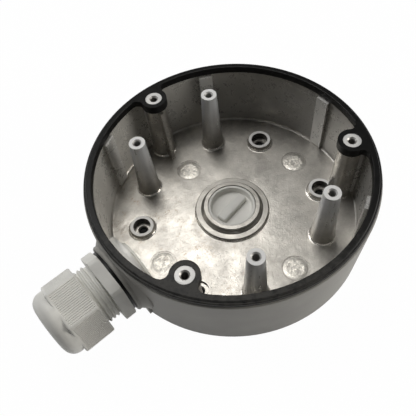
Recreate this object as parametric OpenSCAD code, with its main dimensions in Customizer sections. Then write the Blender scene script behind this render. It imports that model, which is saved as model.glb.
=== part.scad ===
// Camera junction box: a round die-cast housing, open at the front, with a rubber rim gasket,
// a side cable gland and a blanked cable hole in its back.
// The origin is the centre of the back face, +Z points out of the open side, the gland points along -X.

/* [Housing] */
// Diameter over the rim of the housing
rim_d = 137; // [130:0.5:150]
// Height of the wall, from the back face to the seat of the gasket
wall_h = 39.6; // [38:0.2:46]
// Draft of the outer wall, in degrees
outer_draft = 2.1; // [1:0.1:3]
// Draft of the inner wall, in degrees
inner_draft = 1.5; // [0.5:0.1:2.5]
// Thickness of the wall at the rim
wall_t = 3.6; // [3.2:0.1:4.5]
// Thickness of the floor
floor_t = 3; // [2.6:0.1:3.4]
// Radius of the rounded lip and of the back edge
edge_r = 0.9; // [0.5:0.1:1.4]
// Radius of the cast fillets inside
fillet_r = 1.2; // [0.6:0.1:1.8]
// Width of the upright ribs on the inner wall
rib_w = 7; // [4:0.5:9]
// How far the ribs stand out from the wall at the floor
rib_t = 1.6; // [1:0.1:2.4]
// Diameter of the ejector pin marks in the floor
mark_d = 13.4; // [8:0.2:14]
// Depth of the ejector pin marks
mark_depth = 0.25; // [0.15:0.05:0.4]

/* [Hole pattern] */
// Long side of the hole rectangle
pitch_long = 83.5; // [78:0.5:88]
// Short side of the hole rectangle
pitch_short = 46; // [42:0.5:50]
// Height of the camera posts above the back face
post_h = 40.3; // [34:0.1:42]
// Diameter of a camera post at its top
post_d = 8; // [7:0.2:9]
// Taper of the posts and columns, in degrees
cast_draft = 3; // [1:0.1:4]
// Diameter of the tapped holes in posts and columns
tap_d = 3.3; // [2.8:0.1:4]
// Depth of the tapped holes
tap_depth = 20; // [12:1:26]
// Height of the wall screw bosses above the back face
boss_h = 5.8; // [5:0.1:7.5]
// Diameter of a wall screw boss at its top
boss_d = 12.1; // [11:0.1:13]
// Diameter of the counterbore for the screw head
counterbore_d = 9; // [8:0.1:9.6]
// Floor left under the screw head
seat_t = 1.6; // [1.2:0.1:2.2]
// Diameter of the wall screw hole
wall_hole_d = 4.4; // [3.6:0.1:5.2]

/* [Cover columns] */
// Distance from the rim to the axis of a cover column
column_inset = 10.5; // [10:0.1:11.5]
// Diameter of a column at its seat
column_d = 10.8; // [10.2:0.1:11.6]
// Drop of the column seat below the rim
column_drop = 1.6; // [1:0.1:2.4]
// Diameter of the machined land on a column
land_d = 8.5; // [7:0.1:9]
// Drop of the land below the top of the gasket
land_drop = 0.4; // [0.2:0.1:1]
// Thickness of the webs on the columns
web_t = 2; // [1.4:0.1:3]

/* [Gasket] */
// Height of the gasket above the rim
gasket_h = 2.8; // [2:0.1:3.6]
// Width of the raised bead of the gasket
bead_w = 2.8; // [2.2:0.1:3.2]
// Overhang of the gasket inside the wall
gasket_in = 1; // [0.6:0.1:1.4]
// Set-back of the gasket from the edge of the rim
gasket_back = 0.7; // [0.5:0.1:1.2]
// Depth of the skirt inside the wall
skirt_h = 0.8; // [0.4:0.1:1]
// Radius of the ears around the cover columns
ear_r = 6.6; // [6:0.1:6.8]
// Radius of the hollow between an ear and the ring
ear_fillet = 3.5; // [2:0.1:5]

/* [Cable gland] */
// Height of the gland axis above the back face
gland_z = 20; // [19:0.2:22]
// Diameter of the thread in the wall
port_d = 25; // [22:0.5:26]
// Diameter of the round pad outside the wall
pad_d = 35; // [33:0.5:36]
// Height of the pad above the rim diameter
pad_out = 1.7; // [1:0.1:4]
// Depth of the pad inside the rim diameter
pad_in = 8.5; // [7:0.1:10]
// Overhang of the sealing washer round the thread in the wall
washer_over = 3; // [1.5:0.1:4]
// Thickness of the sealing washer
washer_t = 1.5; // [1:0.1:2.2]
// Wall of the cap nut between its bore and a flat
nut_wall = 1.75; // [1.6:0.05:3]
// Thickness of the body flange
flange_t = 5.3; // [4:0.1:7]
// Length of the threaded spigot
spigot_l = 14.2; // [12:0.2:18]
// Diameter of the thread that carries the cap nut
neck_d = 27.4; // [26.6:0.1:28.2]
// Length of that thread
neck_l = 12.5; // [11:0.1:15]
// Number of clamping claws
claw_count = 12; // [8:1:16]
// Length of a claw
claw_l = 5.3; // [4:0.1:5.6]
// Width of the slots between the claws
claw_slot = 1.2; // [0.8:0.1:1.6]
// Diameter over the tips of the claws
claw_tip_d = 22.8; // [22:0.1:23]
// Bore through the body
body_bore = 18.5; // [16:0.1:19]
// Cable bore of the rubber seal
seal_bore = 15; // [10:0.1:16]
// Length of the rubber seal
seal_l = 15; // [13:0.1:16]
// Pitch of the cap nut thread
nut_pitch = 2; // [1.5:0.5:2]
// Gap between the flange and the cap nut, as drawn
nut_gap = 6.6; // [5.4:0.1:8]
// Length of the cap nut
nut_l = 21.6; // [20:0.1:25]
// Length of its hexagon
nut_hex_l = 14.4; // [12:0.1:16]
// Extra width of its domed end over the flats
dome_over = 0.5; // [0.3:0.1:2.4]
// Radius of the dome's shoulder
dome_r = 5.4; // [4:0.1:6.5]
// Diameter of the cable entry
mouth_d = 19.2; // [16:0.1:20]
// Grip grooves on each flat of the cap nut
grip_count = 17; // [9:1:19]

/* [Blanking plug] */
// Diameter of the plug thread
plug_d = 25; // [22:0.5:26]
// Overhang of the plug head round its thread
head_over = 3; // [2:0.1:3.5]
// Thickness of the plug head
head_t = 2.2; // [1.6:0.1:2.4]
// Thickness of the sealing ring
ring_t = 0.9; // [0.6:0.1:1.2]
// Wall of the threaded collar in the floor
collar_wall = 2.5; // [1.5:0.1:4]
// Height of the collar above the back face
collar_h = 7.6; // [6.8:0.1:9]
// Width of the step round the collar
step_w = 4; // [3:0.1:6]
// Height of the step above the back face
step_h = 5; // [4.6:0.1:6]
// Width of the coin slot
slot_w = 2.2; // [1.6:0.1:3]
// Length of the coin slot
slot_l = 17; // [12:0.2:19]

/* [Hidden] */
$fn = 96;
// Clearance of a running fit, on the radius
fit = 0.05;
// How far a shape runs into the one that it joins
bite = 0.5;
rim_r = rim_d / 2;
function outer_r(z) = rim_r - (wall_h - z) * tan(outer_draft);
function inner_r(z) = rim_r - wall_t - (wall_h - z) * tan(inner_draft);
gasket_top = wall_h + gasket_h;
column_pcr = rim_r - column_inset;
column_seat = wall_h - column_drop;
column_angles = [90, 210, 330];
rib_angles = [0, 60, 120, 240, 300];
// The marks lie near the foot of the wall, apart from the one that makes room for the web of a column
mark_inset = 18;
mark_shift = 10.3;
mark_ring = inner_r(floor_t) - mark_inset;
mark_near = mark_ring - mark_shift;
// Gland stations, measured outwards from the face of the pad
pad_face = rim_r + pad_out;
washer_d = port_d + 2 * washer_over;
flange_end = washer_t + flange_t;
neck_end = flange_end + neck_l;
claw_end = neck_end + claw_l;
nut_start = flange_end + nut_gap;
nut_end = nut_start + nut_l;
// The flange of the body and the cap nut have the same width across the flats
hex_af = neck_d + 2 * (nut_wall + fit);
hex_corner = hex_af / 2 / cos(30);
dome_d = hex_af + dome_over;
// The corners of the hexagons are broken by this much
corner_break = 0.5;
corner_r = hex_corner - corner_break;
hex_turn = 16;
seal_d = claw_tip_d - 3.4;
pocket_d = seal_d + 0.6;
// The cap nut is closed by two and a half turns when it meets the claws
nut_travel = 2.5 * nut_pitch;
// Inside of the cap nut, from its mouth back to the thread
mouth_l = 1.6;
lip_t = 1.6;
lip_d = mouth_d + 1.7;
lip_end = nut_end - mouth_l - 0.3;
lip_start = lip_end - lip_t;
cone_end = lip_start - 0.3;
cone_l = 4.2;
// Blanking plug stations, from the back face inwards
head_d = plug_d + 2 * head_over;
collar_d = plug_d + 2 * collar_wall;
step_d = collar_d + 2 * step_w;
head_z = 0.3;
recess_h = head_z + head_t + ring_t;
recess_d = head_d + 3;
plug_end = collar_h - 0.3;
cup_floor = head_z + head_t + 1.3;
cup_d = plug_d - 3.2;
slot_end = cup_floor + 0.9;
slot_wall = 1.5;

function arc(centre, r, from, to, steps = 5) =
    [for (i = [0:steps]) centre + r * [cos(from + (to - from) * i / steps), sin(from + (to - from) * i / steps)]];

// Places its children on the gland axis, with their +Z pointing away from the housing
module on_gland_axis() {
    translate([-pad_face, 0, gland_z]) rotate([0, -90, 0]) children();
}

// A drafted boss that grows out of the floor with a fillet round its foot
module cast_boss(top_d, top_z, taper = cast_draft) {
    foot_z = floor_t + fillet_r;
    foot_r = top_d / 2 + (top_z - foot_z) * tan(taper);
    rotate_extrude() polygon(concat(
        [[0, floor_t - bite], [foot_r + fillet_r, floor_t - bite]],
        arc([foot_r + fillet_r, foot_z], fillet_r, 270, 180),
        [[top_d / 2, top_z], [0, top_z]]));
}

module tapped_hole(top_z) {
    sink = 0.7;
    translate([0, 0, top_z - tap_depth]) cylinder(d = tap_d, h = tap_depth + 1);
    translate([0, 0, top_z - sink]) cylinder(d1 = tap_d, d2 = tap_d + 4 * sink, h = 2 * sink);
}

// The outside of the casting, as a solid puck
module outside() {
    lip_z = wall_h - edge_r;
    rotate_extrude($fn = 180) polygon(concat(
        [[0, 0]],
        arc([outer_r(edge_r) - edge_r, edge_r], edge_r, 270, 360),
        arc([outer_r(lip_z) - edge_r, lip_z], edge_r, 0, 90),
        [[0, wall_h]]));
}

// The hollow of the casting, which opens upwards
module hollow() {
    foot_z = floor_t + fillet_r;
    above = wall_h + 1;
    rotate_extrude($fn = 180) polygon(concat(
        [[0, above], [0, floor_t]],
        arc([inner_r(foot_z) - fillet_r, foot_z], fillet_r, 270, 360),
        [[inner_r(above), above]]));
}

// Upright ribs, which stiffen the wall and carry the ejector pins of its inside
module wall_ribs() {
    face_r = inner_r(floor_t) - rib_t;
    for (a = rib_angles)
        rotate(a) translate([face_r, -rib_w / 2, floor_t - bite])
            cube([inner_r(floor_t) - face_r + 1, rib_w, column_seat - floor_t + bite]);
}

// A cover column, joined to the wall by a block over most of its width
module column() {
    reach = inner_r(floor_t) - column_pcr + 1;
    block_w = column_d - 2;
    half = column_d;
    intersection() {
        cast_boss(column_d, column_seat, 1.4);
        translate([-half, -half, 0]) cube([half + 2, 2 * half, wall_h]);
    }
    translate([0, -block_w / 2, floor_t - bite]) cube([reach, block_w, column_seat - floor_t + bite]);
    translate([0, 0, column_seat - bite])
        cylinder(d = land_d, h = gasket_top - land_drop - column_seat + bite);
}

// The thin web on the inner side of the first column
module column_web() {
    near = column_pcr - column_d / 2 - 5;
    translate([-web_t, 0, 0]) rotate([90, 0, 90]) linear_extrude(web_t)
        polygon([[column_pcr, floor_t - bite], [near, floor_t - bite], [near + 3, column_seat - 1],
                 [column_pcr, column_seat - 1]]);
}

// Round pad on the outside of the wall, which flares into it and stays between the lip and the back edge
module outer_pad() {
    flare = 3;
    depth = pad_out + 2 * wall_t;
    intersection() {
        on_gland_axis() rotate_extrude() polygon([[0, 0], [pad_d / 2 - 0.5, 0], [pad_d / 2, -0.5],
            [pad_d / 2, -pad_out], [pad_d / 2 + flare, -pad_out - flare], [pad_d / 2 + flare, -depth], [0, -depth]]);
        translate([-pad_face - 1, -pad_face, edge_r])
            cube([pad_face, 2 * pad_face, wall_h - 2.6 * edge_r]);
    }
}

// Pad on the inside: round above the gland axis and straight down to the floor below it, so the die can draw
module inner_pad() {
    r = pad_d / 2 - 1;
    length = pad_in - 2;
    on_gland_axis() translate([0, 0, -pad_out - pad_in]) cylinder(r = r, h = length);
    translate([-rim_r + pad_in - length, -r, floor_t - bite]) cube([length, 2 * r, gland_z - floor_t + bite]);
}

module floor_collar() {
    chamfer = 0.6;
    rotate_extrude() polygon([[0, floor_t - bite], [step_d / 2 + fillet_r / 2, floor_t - bite],
        [step_d / 2 + fillet_r / 2, floor_t], [step_d / 2, floor_t + fillet_r / 2],
        [step_d / 2, step_h - chamfer / 2], [step_d / 2 - chamfer / 2, step_h],
        [collar_d / 2 + fillet_r, step_h], [collar_d / 2, step_h + fillet_r],
        [collar_d / 2, collar_h - chamfer], [collar_d / 2 - chamfer, collar_h], [0, collar_h]]);
}

module wall_screw_hole() {
    sink = 0.5;
    translate([0, 0, -1]) cylinder(d = wall_hole_d, h = boss_h + 2);
    translate([0, 0, seat_t - sink]) cylinder(d1 = wall_hole_d, d2 = wall_hole_d + 2 * sink, h = sink);
    translate([0, 0, seat_t]) cylinder(d = counterbore_d, h = boss_h);
}

module post_places() {
    for (x = [-1, 1], y = [-1, 1]) translate([x * pitch_short / 2, y * pitch_long / 2, 0]) children();
}

module wall_screw_places() {
    for (x = [-1, 1], y = [-1, 1]) translate([x * pitch_long / 2, y * pitch_short / 2, 0]) children();
}

module column_places() {
    for (a = column_angles) rotate(a) translate([column_pcr, 0, 0]) children();
}

// The housing is one casting, drilled and tapped afterwards
module housing() {
    color("gray") difference() {
        union() {
            difference() {
                union() {
                    outside();
                    outer_pad();
                }
                hollow();
            }
            wall_ribs();
            inner_pad();
            floor_collar();
            column_web();
            post_places() cast_boss(post_d, post_h);
            wall_screw_places() cast_boss(boss_d, boss_h, 4 * cast_draft);
            column_places() column();
        }
        post_places() tapped_hole(post_h);
        wall_screw_places() wall_screw_hole();
        column_places() tapped_hole(gasket_top - land_drop);
        on_gland_axis() translate([0, 0, -pad_out - pad_in - 1]) cylinder(d = port_d, h = pad_out + pad_in + 2);
        translate([0, 0, -1]) cylinder(d = plug_d, h = collar_h + 2);
        translate([0, 0, -1]) cylinder(d = recess_d, h = recess_h + 1);
        for (a = [0, 180, 270]) rotate(a) translate([mark_ring, 0, floor_t - mark_depth]) cylinder(d = mark_d, h = 1);
        translate([0, mark_near, floor_t - mark_depth]) cylinder(d = mark_d, h = 1);
    }
}

// Fills the corner between an ear and the inner edge of the ring, with a hollow that just bites into both
module ear_corner(ring_r) {
    reach = ring_r - ear_fillet;
    touch = ear_r + ear_fillet;
    x = (reach * reach + column_pcr * column_pcr - touch * touch) / (2 * column_pcr);
    y = sqrt(reach * reach - x * x);
    difference() {
        polygon(concat([[column_pcr, 0], [x, y]], arc([0, 0], ring_r + bite + 0.15, atan2(y, x), 0, 4)));
        translate([x, y]) circle(r = ear_fillet + 0.03);
    }
}

module ear(ring_r) {
    translate([column_pcr, 0, column_seat]) cylinder(r = ear_r, h = gasket_top - column_seat);
    translate([0, 0, wall_h - skirt_h]) linear_extrude(gasket_h + skirt_h) {
        ear_corner(ring_r);
        mirror([0, 1]) ear_corner(ring_r);
    }
}

module rim_gasket() {
    in_r = inner_r(wall_h) - gasket_in;
    out_r = rim_r - gasket_back;
    round_r = 0.4;
    ledge = 0.9;
    skirt_r = inner_r(wall_h - skirt_h) - fit;
    color([0.1, 0.1, 0.1]) difference() {
        union() {
            rotate_extrude($fn = 180) polygon(concat(
                [[in_r, wall_h - skirt_h], [skirt_r, wall_h - skirt_h], [skirt_r, wall_h], [out_r, wall_h],
                 [out_r, gasket_top - ledge - round_r], [out_r - round_r, gasket_top - ledge],
                 [in_r + bead_w + 0.3, gasket_top - ledge]],
                arc([in_r + bead_w - round_r, gasket_top - round_r], round_r, 0, 90, 3),
                arc([in_r + round_r, gasket_top - round_r], round_r, 90, 180, 3)));
            for (a = column_angles) rotate(a) intersection() {
                ear(in_r);
                cylinder(r = skirt_r, h = gasket_top + 1);
            }
        }
        column_places() cylinder(d = land_d + 2 * fit, h = gasket_top + 1);
    }
}

// A hexagonal prism with its corners turned down, standing on z = 0
module broken_hex(length, r) {
    chamfer = 0.4;
    intersection() {
        rotate(hex_turn) cylinder(r = hex_corner, h = length, $fn = 6);
        rotate_extrude() polygon([[0, 0], [r - 2 * chamfer, 0], [r, chamfer], [r, length - chamfer],
                                  [r - 2 * chamfer, length], [0, length]]);
    }
}

module claw_slots() {
    for (i = [0:claw_count - 1]) rotate(i * 360 / claw_count)
        translate([0, -claw_slot / 2, neck_end]) cube([neck_d, claw_slot, claw_l + 1]);
}

module gland_body() {
    undercut = 0.8;
    chamfer = 0.7;
    pocket_start = neck_end - nut_travel - 2;
    color([0.72, 0.72, 0.7]) on_gland_axis() difference() {
        union() {
            translate([0, 0, washer_t]) broken_hex(flange_t, corner_r);
            rotate_extrude() polygon([[0, washer_t - spigot_l], [port_d / 2 - chamfer, washer_t - spigot_l],
                [port_d / 2 - fit, washer_t - spigot_l + chamfer], [port_d / 2 - fit, washer_t + bite],
                [0, washer_t + bite]]);
            rotate_extrude() polygon([[0, flange_end - bite], [neck_d / 2 - undercut, flange_end - bite],
                [neck_d / 2 - undercut, flange_end + undercut], [neck_d / 2, flange_end + 2 * undercut],
                [neck_d / 2, neck_end - chamfer], [neck_d / 2 - chamfer, neck_end],
                [claw_tip_d / 2, claw_end], [0, claw_end]]);
        }
        translate([0, 0, washer_t - spigot_l - 1]) cylinder(d = body_bore, h = spigot_l + neck_l + claw_l);
        translate([0, 0, pocket_start]) cylinder(d = pocket_d, h = claw_end - pocket_start + 1);
        claw_slots();
    }
}

module gland_washer() {
    color([0.08, 0.08, 0.08]) on_gland_axis() difference() {
        cylinder(d = washer_d, h = washer_t);
        translate([0, 0, -1]) cylinder(d = port_d + 0.2, h = washer_t + 2);
    }
}

// The seal sits inside the claws, and its lip turns freely in the mouth of the cap nut
module gland_seal() {
    seal_start = lip_end - seal_l;
    color([0.15, 0.15, 0.15]) on_gland_axis() rotate_extrude() polygon([
        [seal_bore / 2, seal_start], [seal_d / 2, seal_start], [seal_d / 2, lip_start],
        [lip_d / 2 - fit, lip_start], [lip_d / 2 - fit, lip_end], [seal_bore / 2, lip_end]]);
}

module grip_grooves() {
    groove_d = 0.5;
    // Width of a flat between its broken corners
    flat_w = 2 * sqrt(corner_r * corner_r - hex_af * hex_af / 4);
    pitch = (flat_w + groove_d) / (grip_count + 1);
    length = nut_hex_l - 2.6;
    for (side = [0:5]) rotate(hex_turn + 30 + side * 60) for (i = [1:grip_count])
        translate([hex_af / 2 + groove_d * 0.2, (i - (grip_count + 1) / 2) * pitch, nut_start + 1])
            cylinder(d = groove_d, h = length, $fn = 16);
}

module gland_nut() {
    bore_r = neck_d / 2 + fit;
    shoulder = nut_start + nut_hex_l;
    sunk = 0.3;
    mouth_round = 0.8;
    color([0.75, 0.75, 0.73]) on_gland_axis() difference() {
        union() {
            translate([0, 0, nut_start]) broken_hex(nut_hex_l + sunk, corner_r);
            rotate_extrude() polygon(concat(
                [[bore_r + 1, shoulder - 2], [hex_af / 2 - sunk, shoulder - 2], [dome_d / 2, shoulder - sunk]],
                arc([dome_d / 2 - dome_r, nut_end - dome_r], dome_r, 0, 90, 8),
                [[0, nut_end], [0, shoulder]]));
        }
        rotate_extrude() polygon([[0, nut_start - 1], [bore_r + 1.2, nut_start - 1], [bore_r, nut_start + 1],
            [bore_r, cone_end - cone_l], [lip_d / 2, cone_end], [lip_d / 2, lip_end + 0.3], [mouth_d / 2, lip_end + 0.3],
            [mouth_d / 2, nut_end - mouth_round], [mouth_d / 2 + mouth_round, nut_end], [mouth_d / 2 + mouth_round, nut_end + 1],
            [0, nut_end + 1]]);
        grip_grooves();
    }
}

// The plug is hollow towards the inside of the box, and the coin slot shows there as a bar
module blanking_plug() {
    chamfer = 0.6;
    color([0.72, 0.72, 0.7]) difference() {
        union() {
            difference() {
                rotate_extrude() polygon([[0, head_z], [head_d / 2 - chamfer, head_z], [head_d / 2, head_z + chamfer],
                    [head_d / 2, head_z + head_t], [plug_d / 2 - fit, head_z + head_t],
                    [plug_d / 2 - fit, plug_end - chamfer], [plug_d / 2 - chamfer, plug_end], [0, plug_end]]);
                translate([0, 0, cup_floor]) cylinder(d = cup_d, h = plug_end);
            }
            translate([-slot_l / 2 - slot_wall, -slot_w / 2 - slot_wall, cup_floor - bite])
                cube([slot_l + 2 * slot_wall, slot_w + 2 * slot_wall, slot_end + slot_wall - cup_floor + bite]);
        }
        translate([-slot_l / 2, -slot_w / 2, -1]) cube([slot_l, slot_w, slot_end + 1]);
    }
}

module plug_seal_ring() {
    color([0.1, 0.1, 0.1]) translate([0, 0, head_z + head_t]) difference() {
        cylinder(d = head_d, h = ring_t);
        translate([0, 0, -1]) cylinder(d = plug_d + 0.2, h = ring_t + 2);
    }
}

housing();
rim_gasket();
gland_body();
gland_washer();
gland_seal();
gland_nut();
blanking_plug();
plug_seal_ring();
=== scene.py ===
from math import cos, pi, radians, sin, tan

import bpy
from mathutils import Matrix, Vector


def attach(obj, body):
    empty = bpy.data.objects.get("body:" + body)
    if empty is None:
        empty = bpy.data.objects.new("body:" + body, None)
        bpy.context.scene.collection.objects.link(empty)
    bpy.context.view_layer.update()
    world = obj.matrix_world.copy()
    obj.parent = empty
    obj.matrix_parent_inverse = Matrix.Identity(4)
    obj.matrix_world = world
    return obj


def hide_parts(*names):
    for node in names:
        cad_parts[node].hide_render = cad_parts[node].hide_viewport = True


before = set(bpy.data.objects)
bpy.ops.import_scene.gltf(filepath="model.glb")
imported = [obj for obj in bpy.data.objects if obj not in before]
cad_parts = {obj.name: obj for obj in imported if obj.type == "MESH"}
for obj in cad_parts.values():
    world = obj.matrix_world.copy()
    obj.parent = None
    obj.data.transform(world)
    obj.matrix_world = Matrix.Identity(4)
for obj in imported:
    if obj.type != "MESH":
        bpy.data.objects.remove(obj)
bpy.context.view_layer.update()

# Camera and studio.
# The camera looks down into the open box from the side of the gland. The box lies on a white
# sweep, under a broad lamp overhead, with a second one at the right and a third at the left.
camera_data = bpy.data.cameras.new("camera")
camera_data.sensor_width = 36
camera_data.lens = 42.33
camera_data.clip_start, camera_data.clip_end = 0.01, 20
camera = bpy.data.objects.new("camera", camera_data)
bpy.context.collection.objects.link(camera)
right = Vector((0.7576, -0.6488, -0.0713)).normalized()
back = Vector((-0.3029, -0.4462, 0.8421)).normalized()
up = back.cross(right).normalized()
right = up.cross(back)
stand = Matrix.Translation((-0.08695, -0.10596, 0.22070))
camera.matrix_world = stand @ Matrix((right, up, back)).transposed().to_4x4()
bpy.context.scene.camera = camera
bpy.context.scene.view_settings.view_transform = "Standard"


def lamp(name, size, place, aim, watts, colour):
    data = bpy.data.lights.new(name, "AREA")
    data.shape, data.size, data.energy, data.color = "DISK", size, watts, colour
    made = bpy.data.objects.new(name, data)
    bpy.context.collection.objects.link(made)
    made.location = place
    made.rotation_mode = "QUATERNION"
    made.rotation_quaternion = (Vector(place) - Vector(aim)).to_track_quat("Z", "Y")


lamp("overhead_lamp", 0.26, (0.07, 0.22, 0.62), (-0.02, 0.0, 0.0), 1.5, (1, 0.985, 0.955))
lamp("right_lamp", 0.40, (0.68, -0.60, 0.30), (0, 0, 0.02), 5.5, (1, 0.97, 0.92))
lamp("left_lamp", 0.40, (-0.30, 0.58, 0.58), (-0.08, 0, 0.02), 2.2, (0.97, 0.98, 1))

world = bpy.data.worlds.new("studio")
bpy.context.scene.world = world
world.use_nodes = True
tree = world.node_tree
tree.nodes.clear()
ray = tree.nodes.new("ShaderNodeLightPath")
room_light = tree.nodes.new("ShaderNodeBackground")
room_light.inputs["Color"].default_value = (0.78, 0.79, 0.80, 1)
room_light.inputs["Strength"].default_value = 0.09
seen = tree.nodes.new("ShaderNodeBackground")
seen.inputs["Color"].default_value = (1, 1, 1, 1)
choice = tree.nodes.new("ShaderNodeMixShader")
output = tree.nodes.new("ShaderNodeOutputWorld")
# The eye sees white all round. A glossy surface sees it near the horizon, and the dim room above.
mirrored = tree.nodes.new("ShaderNodeMath")
mirrored.operation = "ADD"
direction = tree.nodes.new("ShaderNodeTexCoord")
height = tree.nodes.new("ShaderNodeSeparateXYZ")
low = tree.nodes.new("ShaderNodeMapRange")
low.inputs["From Min"].default_value, low.inputs["From Max"].default_value = 0.18, 0.06
low_mirrored = tree.nodes.new("ShaderNodeMath")
low_mirrored.operation = "MULTIPLY"
either = tree.nodes.new("ShaderNodeMath")
either.operation = "MAXIMUM"
tree.links.new(ray.outputs["Is Glossy Ray"], mirrored.inputs[0])
tree.links.new(ray.outputs["Is Transmission Ray"], mirrored.inputs[1])
tree.links.new(direction.outputs["Generated"], height.inputs[0])
tree.links.new(height.outputs["Z"], low.inputs["Value"])
tree.links.new(mirrored.outputs[0], low_mirrored.inputs[0])
tree.links.new(low.outputs[0], low_mirrored.inputs[1])
tree.links.new(ray.outputs["Is Camera Ray"], either.inputs[0])
tree.links.new(low_mirrored.outputs[0], either.inputs[1])
tree.links.new(either.outputs[0], choice.inputs[0])
tree.links.new(room_light.outputs[0], choice.inputs[1])
tree.links.new(seen.outputs[0], choice.inputs[2])
tree.links.new(choice.outputs[0], output.inputs["Surface"])

bpy.ops.object.select_all(action="DESELECT")
bpy.ops.mesh.primitive_plane_add(size=6, location=(0, 0, -0.0002))
floor = bpy.context.object
floor.name = "floor"
# The paper is painted near black under the box, as the box's shade, and turns white just inside its edge.
DARK_REACH, WHITE_REACH, WHITENESS = 0.054, 0.066, 0.985
floor_paper = bpy.data.materials.new("floor_paper")
floor_paper.use_nodes = True
tree = floor_paper.node_tree
tree.nodes.clear()
ray = tree.nodes.new("ShaderNodeLightPath")
matt = tree.nodes.new("ShaderNodeBsdfDiffuse")
painted_shade_under_box = tree.nodes.new("ShaderNodeMix")
painted_shade_under_box.data_type = "RGBA"
# Painted shade: the paper's colour under the box, where the box shades it.
painted_shade_under_box.inputs[6].default_value = (0.03, 0.03, 0.03, 1)
painted_shade_under_box.inputs[7].default_value = (0.86, 0.86, 0.86, 1)
white = tree.nodes.new("ShaderNodeEmission")
place = tree.nodes.new("ShaderNodeTexCoord")
reach = tree.nodes.new("ShaderNodeVectorMath")
reach.operation = "LENGTH"
share = tree.nodes.new("ShaderNodeMapRange")
share.inputs["From Min"].default_value = DARK_REACH
share.inputs["From Max"].default_value = WHITE_REACH
share.inputs["To Max"].default_value = WHITENESS
mirrored = tree.nodes.new("ShaderNodeMath")
mirrored.operation = "ADD"
either = tree.nodes.new("ShaderNodeMath")
either.operation = "MAXIMUM"
shown = tree.nodes.new("ShaderNodeMath")
shown.operation = "MULTIPLY"
choice = tree.nodes.new("ShaderNodeMixShader")
output = tree.nodes.new("ShaderNodeOutputMaterial")
tree.links.new(place.outputs["Object"], reach.inputs[0])
tree.links.new(reach.outputs["Value"], share.inputs["Value"])
tree.links.new(share.outputs[0], painted_shade_under_box.inputs[0])
tree.links.new(painted_shade_under_box.outputs[2], matt.inputs["Color"])
tree.links.new(share.outputs[0], shown.inputs[0])
tree.links.new(ray.outputs["Is Glossy Ray"], mirrored.inputs[0])
tree.links.new(ray.outputs["Is Transmission Ray"], mirrored.inputs[1])
tree.links.new(ray.outputs["Is Camera Ray"], either.inputs[0])
tree.links.new(mirrored.outputs[0], either.inputs[1])
tree.links.new(either.outputs[0], shown.inputs[1])
tree.links.new(shown.outputs[0], choice.inputs[0])
tree.links.new(matt.outputs[0], choice.inputs[1])
tree.links.new(white.outputs[0], choice.inputs[2])
tree.links.new(choice.outputs[0], output.inputs["Surface"])
floor.data.materials.append(floor_paper)


# Housing.
# One aluminium die casting. Its outside is sprayed with a warm grey powder paint; the inside is
# left as cast, mottled by the flow of the metal, and only the screw faces are machined bright, and painted lighter as
# the light on them.
class Value:
    """A shader socket: sums and products of it add Math nodes."""

    def __init__(self, finish, socket):
        self.finish, self.socket = finish, socket

    def math(self, operation, *inputs):
        return self.finish.node("ShaderNodeMath", {"operation": operation}, dict(enumerate(inputs)))

    def __add__(self, other):
        return self.math("ADD", self, other)

    def __radd__(self, other):
        return self.math("ADD", other, self)

    def __sub__(self, other):
        return self.math("SUBTRACT", self, other)

    def __rsub__(self, other):
        return self.math("SUBTRACT", other, self)

    def __mul__(self, other):
        return self.math("MULTIPLY", self, other)

    def __rmul__(self, other):
        return self.math("MULTIPLY", other, self)

    def __pow__(self, other):
        return self.math("POWER", self, other)

    def __gt__(self, other):
        return self.math("GREATER_THAN", self, other)

    def __lt__(self, other):
        return self.math("LESS_THAN", self, other)

    def ramp(self, low, high):
        return self.finish.node("ShaderNodeMapRange", {"clamp": True},
                                {"Value": self, "From Min": low, "From Max": high})


class Finish:
    """A material on the Principled shader, whose patterns are measured in millimetres."""

    def __init__(self, name):
        self.material = bpy.data.materials.new(name)
        self.material.use_nodes = True
        self.tree = self.material.node_tree
        self.tree.nodes.clear()
        self.shader = self.tree.nodes.new("ShaderNodeBsdfPrincipled")
        end = self.tree.nodes.new("ShaderNodeOutputMaterial")
        self.tree.links.new(self.shader.outputs[0], end.inputs["Surface"])
        place = self.node("ShaderNodeTexCoord", {}, {}, "Object")
        self.place = self.node("ShaderNodeMapping", {}, {"Vector": place, "Scale": (1000, 1000, 1000)})
        self.x, self.y, self.z = (self.node("ShaderNodeSeparateXYZ", {}, {0: self.place}, axis) for axis in "XYZ")

    def node(self, kind, settings, inputs, out=0):
        made = self.tree.nodes.new(kind)
        for name, setting in settings.items():
            if name == "stops":
                ramp = made.color_ramp
                while len(ramp.elements) < len(setting):
                    ramp.elements.new(0.5)
                for element, (position, colour) in zip(ramp.elements, setting):
                    element.position, element.color = position, (*colour, 1)
            else:
                setattr(made, name, setting)
        for name, value in inputs.items():
            self.feed(made.inputs[name], value)
        return Value(self, made.outputs[out])

    def feed(self, socket, value):
        if isinstance(value, Value):
            self.tree.links.new(value.socket, socket)
        else:
            socket.default_value = value

    def set(self, sockets):
        for name, value in sockets.items():
            self.feed(self.shader.inputs[name], value)

    def noise(self, size, detail=2, stretch=(1, 1, 1), turn=(0, 0, 0), roughness=0.5):
        place = self.node("ShaderNodeMapping", {}, {"Vector": self.place, "Rotation": turn,
                                                    "Scale": [1 / (size * s) for s in stretch]})
        return self.node("ShaderNodeTexNoise", {}, {"Vector": place, "Scale": 1.0, "Detail": detail,
                                                   "Roughness": roughness}, "Fac")

    def from_nearest(self, axes):
        """Distance from the nearest of some upright axes."""
        nearest = None
        for x, y in axes:
            off_x, off_y = self.x - x, self.y - y
            off = (off_x * off_x + off_y * off_y) ** 0.5
            nearest = off if nearest is None else nearest.math("MINIMUM", nearest, off)
        return nearest

    def mix(self, share, one, other):
        return self.node("ShaderNodeMix", {"data_type": "RGBA"}, {0: share, 6: one, 7: other}, 2)

    def bump(self, height, depth):
        """height runs from 0 to 1, depth is its height in millimetres."""
        return self.node("ShaderNodeBump", {}, {"Strength": 1.0, "Distance": depth / 1000, "Height": height})


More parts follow.
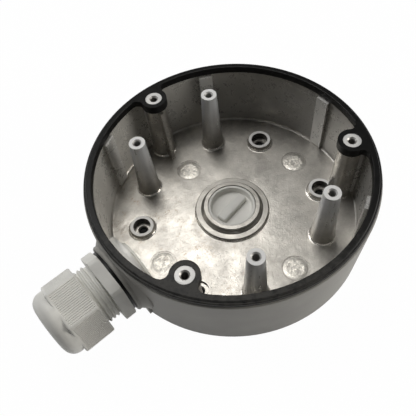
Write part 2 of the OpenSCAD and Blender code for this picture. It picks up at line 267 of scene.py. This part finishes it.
def wear(node, finish):
    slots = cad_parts[node].data.materials
    slots.clear()
    slots.append(finish.material)


# Places and heights on the casting in millimetres, from the middle of its back.
POSTS = [(x, y) for x in (-23, 23) for y in (-41.75, 41.75)]
BOSSES = [(x, y) for x in (-41.75, 41.75) for y in (-23, 23)]
COLUMNS = [(58 * cos(radians(a)), 58 * sin(radians(a))) for a in (90, 210, 330)]
EJECTOR_PINS = [(45.94, 0), (-45.94, 0), (0, -45.94), (0, 35.64)]
WALL_TOP, WALL_TOP_RADIUS, WALL_DRAFT = 39.6, 65.2, radians(1.5)
FLOOR_TOP, FILLET_TOP, POST_TOP = 3.3, 4.4, 40.1
PAD_INSIDE, PAD_HALF_WIDTH = -57.5, 17.5
TAP_RADIUS, RELIEF = 2.25, 0.16

cast = Finish("painted_and_bare_casting")
from_axis = (cast.x * cast.x + cast.y * cast.y) ** 0.5
beyond_wall = from_axis > WALL_TOP_RADIUS - (WALL_TOP - cast.z) * tan(WALL_DRAFT)
behind = cast.z < 0.1
in_recess = (from_axis < 17.1) * (cast.z < 3.45)
painted = beyond_wall + behind + in_recess
painted = painted.math("MINIMUM", painted, 1.0)

cloud = cast.noise(26, 3, roughness=0.55)
blotch = cast.noise(7, 4, roughness=0.6)
grain = cast.noise(0.8, 3, roughness=0.7)
flow = cast.noise(14, 3, (1.8, 0.7, 1), (0, 0, radians(40)))
mottle = cloud * 0.45 + blotch * 0.40 + flow * 0.15 + (grain - 0.5) * 0.16
bare_colour = cast.node("ShaderNodeValToRGB", {"stops": [
    (0.30, (0.25, 0.237, 0.216)), (0.45, (0.38, 0.364, 0.336)),
    (0.56, (0.50, 0.48, 0.442)), (0.72, (0.66, 0.636, 0.588))]}, {0: mottle})
stain = cast.noise(6, 5, roughness=0.75).ramp(0.50, 0.66) * grain.ramp(0.42, 0.60)
stain = stain * (cast.x.ramp(0, -26) * 0.8 + 0.2) * (cast.z < FLOOR_TOP)
bare_colour = cast.mix(stain * 0.75, bare_colour, (0.22, 0.165, 0.11, 1))

# The walls and the gland's pad are smoother than the floor. The posts are painted paler towards their tops, as
# the light from above, and their streaks along their length are partly drawn metal and partly painted
# reflections. A painted highlight runs along the fillets of the floor, which are also less rough.
above_fillet = cast.z > FILLET_TOP
from_post = cast.from_nearest(POSTS)
# Painted light: the posts get paler towards their tops, and their streaks are partly painted reflections.
drawn_streaks_and_glints = cast.noise(1.1, 2, (1, 1, 14), roughness=0.6)
on_post = (from_post < 8.5) * cast.z.ramp(8, 34)
bare_colour = cast.mix(on_post * (0.55 + drawn_streaks_and_glints * 0.5), bare_colour, (0.68, 0.70, 0.725, 1))
on_wall = (from_axis > 61.5) * above_fillet
# Painted light and shade: the walls are lighter towards the -X, +Y side, which the right lamp lights, and darker
# towards the back.
wall_painted_light = cast.mix((cast.y - cast.x).ramp(-10, 70), (0.36, 0.35, 0.33, 1), (0.62, 0.61, 0.575, 1))
bare_colour = cast.mix(on_wall * 0.7, bare_colour, wall_painted_light)
on_rib = (from_axis > 62.0) * (from_axis < 63.75) * above_fillet
bare_colour = cast.mix(on_rib * 0.75, bare_colour, (0.78, 0.77, 0.74, 1))
# Painted light: the pad is painted pale, as the light from above on its upper face.
on_pad = (cast.x < PAD_INSIDE) * (cast.y < PAD_HALF_WIDTH) * (cast.y > -PAD_HALF_WIDTH) * above_fillet
bare_colour = cast.mix(on_pad * 0.8, bare_colour, (0.74, 0.73, 0.70, 1))
# Painted highlight: a pale band on the fillets of the floor, from 3.15 to 4 mm up.
fillet_highlight = (cast.z > 3.15) * (cast.z < 4.0) * (from_axis < 60)
bare_colour = cast.mix(fillet_highlight * 0.8, bare_colour, (0.86, 0.83, 0.77, 1))

# The screw bosses are bored, and their bores are painted dark, as shade. The tapped holes are dull, and the faces
# round them are machined bright and painted lighter as the light on them. The four ejector pins leave rough bright
# discs.
from_column = cast.from_nearest(COLUMNS)
from_boss = cast.from_nearest(BOSSES)
# Painted shade: the walls of the counterbores are painted near black.
counterbore_painted_shade = (from_boss < 4.6) * (cast.z < 5.6) * (cast.z > 1.75)
bare_colour = cast.mix(counterbore_painted_shade * 0.9, bare_colour, (0.04, 0.038, 0.035, 1))
tapped = (from_post < TAP_RADIUS) + (from_column < TAP_RADIUS)
bare_colour = cast.mix(tapped * 0.8, bare_colour, (0.42, 0.41, 0.39, 1))
from_pin = cast.from_nearest(EJECTOR_PINS)
crumpled = cast.noise(2.6, 4, roughness=0.75)
pin_disc = from_pin.ramp(6.0, 4.2) * (cast.z < 3.2)
bare_colour = cast.mix(pin_disc * crumpled.ramp(0.42, 0.6) * 0.85, bare_colour, (0.92, 0.88, 0.80, 1))
pin_edge = (from_pin > 6.1) * (from_pin < 6.9) * (cast.z < 3.2)
bare_colour = cast.mix(pin_edge * crumpled.ramp(0.35, 0.6) * 0.6, bare_colour, (0.22, 0.205, 0.185, 1))
# Machined faces: bright metal, painted lighter still as the light on their flat tops.
boss_face = (cast.z > 5.72) * (cast.z < 5.86) * (from_boss < 6.5)
machined_and_lit_faces = ((cast.z > POST_TOP) + boss_face) * (1 - tapped)
machined_and_lit_faces = machined_and_lit_faces.math("MINIMUM", machined_and_lit_faces, 1.0)
bare_colour = cast.mix(machined_and_lit_faces * 0.85, bare_colour, (0.74, 0.735, 0.72, 1))
turned = (from_axis < 19.2) * (cast.z > 4.7)
bare_colour = cast.mix(turned * 0.5, bare_colour, (0.25, 0.24, 0.22, 1))

peel = cast.noise(0.55, 1)
pits = peel.ramp(0.66, 0.78) * (cast.z < FLOOR_TOP)
paint_colour = cast.node("ShaderNodeValToRGB", {"stops": [
    (0.3, (0.26, 0.25, 0.23)), (0.7, (0.30, 0.29, 0.265))]}, {0: cast.noise(18, 2)})
metal = 0.82 - on_post * 0.18 - counterbore_painted_shade * 0.5 - machined_and_lit_faces * 0.62 - on_wall * 0.35 - on_pad * 0.40
as_cast = 0.38 - blotch * 0.18 + grain * 0.12 - fillet_highlight * 0.10 - (cast.z > 8) * 0.06
worked = (machined_and_lit_faces + tapped) * 0.20 + on_pad * 0.25 + (drawn_streaks_and_glints - 0.35) * on_post * 0.5
skin_relief = grain * (0.40 - above_fillet * 0.34) + blotch * (0.9 - on_wall * 0.7)
skin_relief = skin_relief - pits * 0.35 + pin_disc * crumpled * 2.5
cast.set({
    "Base Color": cast.mix(painted, bare_colour, paint_colour),
    "Metallic": (1 - painted) * metal,
    "Roughness": painted * 0.52 + (1 - painted) * (as_cast + worked),
    "Specular IOR Level": 0.3,
    "Normal": cast.bump(painted * peel * 0.25 + (1 - painted) * skin_relief, RELIEF),
})
wear("housing", cast)


# Blanking plug and its sealing ring.
# The cable hole in the back is closed by a moulded nylon plug with a coin slot behind and a
# shallow cup inside, screwed in from behind against a rubber ring.
def nylon(name, low, high):
    made = Finish(name)
    tone = made.noise(9, 3)
    skin = made.noise(0.5, 2)
    made.set({
        "Base Color": made.node("ShaderNodeValToRGB", {"stops": [(0.3, low), (0.7, high)]}, {0: tone}),
        "Roughness": 0.42 + skin * 0.14,
        "Specular IOR Level": 0.42,
        "Normal": made.bump(skin, 0.02),
    })
    return made


def rubber(name, shade, gloss, front_sheen=0.0):
    """Black rubber with a little pale dust; dusty is how much paler it is painted at the front of the box, as the sheen
    of the lamp.
    """
    made = Finish(name)
    # Painted sheen: the rubber is painted paler towards the front of the box, over random pale dust.
    dust_and_sheen = made.noise(3.5, 4, roughness=0.65) + (made.x + made.y).ramp(-15, -75) * front_sheen
    skin = made.noise(0.35, 2)
    grey_wear_and_sheen = (shade * 1.9, shade * 1.88, shade * 1.8)
    pale_dust_and_sheen = (shade * 9, shade * 8.6, shade * 7.8)
    made.set({
        "Base Color": made.node("ShaderNodeValToRGB", {"stops": [
            (0.35, (shade, shade, shade)), (0.75, grey_wear_and_sheen), (1.0, pale_dust_and_sheen)]}, {0: dust_and_sheen}),
        "Roughness": gloss + dust_and_sheen * 0.2,
        "Specular IOR Level": 0.2,
        "Normal": made.bump(skin, 0.03),
    })
    return made


grey_nylon = nylon("grey_nylon", (0.67, 0.66, 0.62), (0.74, 0.73, 0.685))
black_rubber = rubber("black_rubber", 0.004, 0.30)
# The pad's face lies this far out along -X, and the gland's axis this far above the back, in metres.
GLAND_FACE, GLAND_HEIGHT = 0.0702, 0.020
PLUG_TURN = radians(9)


def outline(name, stations, closed, upright):
    """A line through points in millimetres: each has its height, or its distance out from the
    gland's pad where it isn't upright, and then its radius."""
    bpy.ops.object.select_all(action="DESELECT")
    bpy.ops.mesh.primitive_plane_add(size=0.001, location=(0, 0, 0 if upright else GLAND_HEIGHT))
    made = bpy.context.object
    made.name = name
    if upright:
        points = [Vector((r, 0, out)) / 1000 for out, r in stations]
    else:
        points = [Vector((-GLAND_FACE - out / 1000, 0, r / 1000)) for out, r in stations]
    bpy.ops.object.mode_set(mode="EDIT")
    bpy.ops.mesh.select_all(action="SELECT")
    bpy.ops.mesh.merge(type="CENTER")
    bpy.ops.transform.translate(value=points[0])
    for here, there in zip(points, points[1:]):
        bpy.ops.mesh.extrude_region_move(TRANSFORM_OT_translate={"value": there - here})
    if closed:
        bpy.ops.object.mode_set(mode="OBJECT")
        for vertex in made.data.vertices:
            vertex.select = any((vertex.co - end).length < 1e-6 for end in (points[0], points[-1]))
        bpy.ops.object.mode_set(mode="EDIT")
        bpy.ops.mesh.edge_face_add()
    bpy.ops.object.mode_set(mode="OBJECT")
    return made


def swept(name, stations, turns=1, pitch=0.0, steps=96, closed=True, upright=False):
    """Turns an outline round the axis of the plug or the gland, or winds it as a thread."""
    made = outline(name, stations, closed, upright)
    sweep = made.modifiers.new("sweep", "SCREW")
    sweep.axis, sweep.angle, sweep.iterations = "Z" if upright else "X", 2 * pi, turns
    sweep.screw_offset = pitch / 1000
    sweep.steps = sweep.render_steps = steps
    sweep.use_merge_vertices = pitch == 0
    sweep.merge_threshold = 1e-6
    bpy.ops.object.modifier_apply(modifier=sweep.name)
    bpy.ops.object.mode_set(mode="EDIT")
    if pitch:
        bpy.ops.mesh.select_all(action="DESELECT")
        bpy.ops.mesh.select_non_manifold()
        bpy.ops.mesh.fill()
    bpy.ops.mesh.select_all(action="SELECT")
    bpy.ops.mesh.remove_doubles(threshold=1e-6)
    bpy.ops.mesh.normals_make_consistent(inside=False)
    bpy.ops.object.mode_set(mode="OBJECT")
    return made


def carve(made, cutter, operation):
    """Cuts or crops a piece with another one, which is then thrown away."""
    bpy.context.view_layer.objects.active = made
    cut = made.modifiers.new("cut", "BOOLEAN")
    cut.operation, cut.object, cut.solver = operation, cutter, "EXACT"
    bpy.ops.object.modifier_apply(modifier=cut.name)
    bpy.data.objects.remove(cutter)


def settle(parts, name, node, body, finish, angle=35):
    """Joins parts into one finished piece, whose place is in its mesh, and puts it in for a CAD node."""
    bpy.ops.object.select_all(action="DESELECT")
    for part in parts:
        part.select_set(True)
    bpy.context.view_layer.objects.active = parts[0]
    if len(parts) > 1:
        bpy.ops.object.join()
    made = bpy.context.object
    made.name = name
    bpy.ops.object.transform_apply(location=True, rotation=True, scale=True)
    bpy.ops.object.shade_smooth_by_angle(angle=radians(angle))
    made.data.materials.clear()
    made.data.materials.append(finish.material)
    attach(made, body)
    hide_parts(node)
    return made


def soften(made, width, segments=2, angle=30):
    """Breaks the sharp edges of a piece by a small radius, in millimetres."""
    bpy.context.view_layer.objects.active = made
    edge = made.modifiers.new("edge", "BEVEL")
    edge.width, edge.segments = width / 1000, segments
    edge.limit_method, edge.angle_limit = "ANGLE", radians(angle)
    edge.use_clamp_overlap = True
    bpy.ops.object.modifier_apply(modifier=edge.name)


def block(place, size, turn=0.0):
    """A box in metres, turned by an angle about the direction of the gland."""
    bpy.ops.object.select_all(action="DESELECT")
    bpy.ops.mesh.primitive_cube_add(size=1, location=place)
    made = bpy.context.object
    made.scale = size
    made.rotation_euler = (turn, 0, 0)
    bpy.ops.object.transform_apply(location=True, rotation=True, scale=True)
    return made


plug = swept("plug", [
    (0.3, 0), (0.3, 14.9), (0.45, 15.3), (0.8, 15.5), (2.0, 15.5), (2.3, 15.4), (2.5, 15.1), (2.5, 12.45),
    (6.7, 12.45), (7.15, 12.2), (7.3, 11.8), (7.3, 11.3), (7.15, 11.0), (6.8, 10.85), (4.6, 10.6), (4.1, 10.3),
    (3.85, 9.7), (3.8, 9.0), (3.8, 0)], upright=True, closed=False)
bar = block((0, 0, 0.0047), (0.0182, 0.0056, 0.0030))
soften(bar, 1.1, 5)
carve(plug, bar, "UNION")
carve(plug, block((0, 0, 0.0022), (0.0158, 0.0022, 0.0050)), "DIFFERENCE")
plug.rotation_euler = (0, 0, PLUG_TURN)
settle([plug], "blanking_plug_moulding", "blanking_plug", "box", grey_nylon)
wear("plug_seal_ring", black_rubber)


# Gland washer.
# A flat black ring, stamped from rubber sheet, which seals the flange to the pad of the housing.
wear("gland_washer", black_rubber)


# Gland body.
# A nylon moulding: a threaded spigot in the wall, a hexagonal flange, and the neck with its
# coarse thread and the claws that the cap nut closes. Its hexagon and the nut's are in line.
HEX_ACROSS, HEX_TURN = 31.0, radians(14)
CLAW_SLOT = (0.006, 0.04, 0.0012)


def hexagon(out, length):
    """A hexagonal bar on the gland axis, in millimetres."""
    bpy.ops.object.select_all(action="DESELECT")
    bpy.ops.mesh.primitive_cylinder_add(
        vertices=6, radius=HEX_ACROSS / 2 / cos(pi / 6) / 1000, depth=length / 1000,
        location=(-GLAND_FACE - (out + length / 2) / 1000, 0, GLAND_HEIGHT), rotation=(0, pi / 2, 0))
    made = bpy.context.object
    bpy.ops.object.transform_apply(location=True, rotation=True, scale=True)
    bpy.ops.object.mode_set(mode="EDIT")
    bpy.ops.mesh.select_all(action="SELECT")
    bpy.ops.transform.rotate(value=-HEX_TURN, orient_axis="X", center_override=(0, 0, GLAND_HEIGHT))
    bpy.ops.object.mode_set(mode="OBJECT")
    return made


core = swept("core", [
    (-12.7, 9.25), (-12.7, 11.2), (-12.0, 11.75), (1.2, 11.75), (1.5, 12.2), (6.7, 12.75), (18.9, 12.75), (19.3, 12.95),
    (24.5, 11.5), (24.6, 11.3), (24.6, 10.0), (12.3, 10.0), (12.3, 9.25)])
for step in range(6):
    slot = block((-GLAND_FACE - 0.0223, 0, GLAND_HEIGHT), CLAW_SLOT, step * pi / 6)
    carve(core, slot, "DIFFERENCE")
flange = swept("flange", [(1.5, 11.5), (1.5, 16.9), (1.8, 17.4), (6.5, 17.4), (6.8, 16.9), (6.8, 11.5)])
carve(flange, hexagon(0, 10), "INTERSECT")
soften(flange, 0.3)
neck_thread = swept("neck_thread", [
    (6.6, 12.4), (7.2, 13.55), (7.4, 13.7), (7.7, 13.7), (7.9, 13.55), (8.5, 12.4)], turns=5, pitch=-2.0, steps=72)
wall_thread = swept("wall_thread", [
    (-12.5, 11.5), (-11.85, 12.4), (-11.65, 12.4), (-11.0, 11.5)], turns=8, pitch=-1.5, steps=72)
settle([core, flange, neck_thread, wall_thread], "gland_body_moulding", "gland_body", "box", grey_nylon)


# Gland seal.
# A soft rubber bush inside the claws, with a lip that sits in the mouth of the cap nut.
wear("gland_seal", rubber("seal_rubber", 0.02, 0.45))


# Cap nut.
# A nylon nut with finely grooved flats and a domed end, screwed on the neck of the body. The
# grooves are V-shaped, and stop short of both ends of the flats.
DOME = 5.4
GRIP_PITCH, GRIP_LENGTH, GRIP_RADIUS = 0.00096, 0.0128, 0.00040
GRIP_OUT, GRIP_REACH, GRIPS_EACH_SIDE = 0.0139, 0.01562, 8
nut = hexagon(13.4, 14.7)
bpy.ops.object.mode_set(mode="EDIT")
bpy.ops.mesh.select_all(action="DESELECT")
bpy.ops.object.mode_set(mode="OBJECT")
for edge in nut.data.edges:
    ends = [nut.data.vertices[i].co for i in edge.vertices]
    edge.select = abs(ends[0].x - ends[1].x) > 0.005
bpy.ops.object.mode_set(mode="EDIT")
bpy.ops.mesh.bevel(offset=0.0008, segments=4, affect="EDGES")
bpy.ops.object.mode_set(mode="OBJECT")
soften(nut, 0.35, 2, 60)
dome = swept("dome", [(24.0, 13.0), (25.6, 15.0), (27.2, 15.6), (29.6, 15.75)] + [
    (35.0 - DOME + DOME * sin(radians(a)), 15.75 - DOME + DOME * cos(radians(a))) for a in range(9, 91, 9)] + [
    (35.0, 10.2), (34.85, 9.85), (34.5, 9.6), (33.4, 9.6), (33.4, 8.8), (30.0, 8.8), (24.0, 8.8)])
carve(nut, dome, "UNION")
bpy.ops.object.select_all(action="DESELECT")
grooves = []
for side in range(6):
    for line in range(-GRIPS_EACH_SIDE, GRIPS_EACH_SIDE + 1):
        bpy.ops.mesh.primitive_cylinder_add(
            vertices=4, radius=GRIP_RADIUS, depth=GRIP_LENGTH,
            location=(-GLAND_FACE - GRIP_OUT - GRIP_LENGTH / 2, line * GRIP_PITCH, GLAND_HEIGHT + GRIP_REACH),
            rotation=(0, pi / 2, 0))
        bpy.ops.object.transform_apply(location=True, rotation=True, scale=True)
        bpy.ops.object.mode_set(mode="EDIT")
        bpy.ops.mesh.select_all(action="SELECT")
        bpy.ops.transform.rotate(value=side * pi / 3 - HEX_TURN, orient_axis="X",
                                 center_override=(0, 0, GLAND_HEIGHT))
        bpy.ops.object.mode_set(mode="OBJECT")
        grooves.append(bpy.context.object)
bpy.ops.object.select_all(action="DESELECT")
for groove in grooves:
    groove.select_set(True)
bpy.ops.object.join()
carve(nut, bpy.context.object, "DIFFERENCE")
bore = swept("nut_bore", [
    (12.0, 5.0), (12.0, 15.6), (14.4, 13.75), (27.0, 13.75), (31.2, 10.45), (33.4, 10.45), (33.4, 9.62),
    (33.5, 5.0)])
carve(nut, bore, "DIFFERENCE")
settle([nut], "cap_nut_moulding", "gland_nut", "cap_nut", grey_nylon, 32)


# Rim gasket.
# A moulded rubber ring with three ears, pressed over the cover columns. It is painted paler at the front, as the sheen
# of the lamp, over a little dust all round.
wear("rim_gasket", rubber("dusty_rubber_with_painted_sheen", 0.004, 0.30, 0.45))
